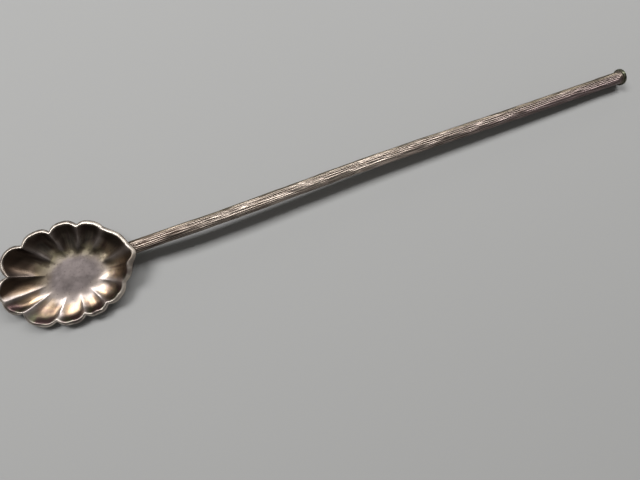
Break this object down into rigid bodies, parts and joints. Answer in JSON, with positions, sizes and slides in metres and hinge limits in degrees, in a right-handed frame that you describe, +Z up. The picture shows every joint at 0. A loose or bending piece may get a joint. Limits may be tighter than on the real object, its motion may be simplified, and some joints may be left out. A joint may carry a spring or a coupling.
{
  "type": "spoon straw",
  "caption": "Hand-made silver spoon straw: a shallow fluted bowl soldered to a long slim hollow stem with a small collar at the mouth end.",
  "frame": {"origin": "under the middle of the bounding box, on the table it lies on", "axes": "+X along the stem from the bowl towards the mouth, +Z up with the bowl open upwards, +Y to the left when looking from the bowl towards the mouth"},
  "size_m": [0.2076, 0.0284, 0.008],
  "materials": {
    "bowl_silver": "worn silver, hammered, bright on the rim and the ridges, tarnished brown and gold in the flutes",
    "straw_silver": "worn silver with fine lengthwise draw marks, tarnished warm grey",
    "collar_silver": "polished silver under dark greenish tarnish",
    "solder": "dull tarnished silver solder"
  },
  "bodies": {
    "root": {"bowl": "bowl_silver", "straw_tube": "straw_silver", "mouth_collar": "collar_silver", "heel_solder_left": "solder", "heel_solder_right": "solder", "collar_solder": "solder"}
  },
  "joints": []
}
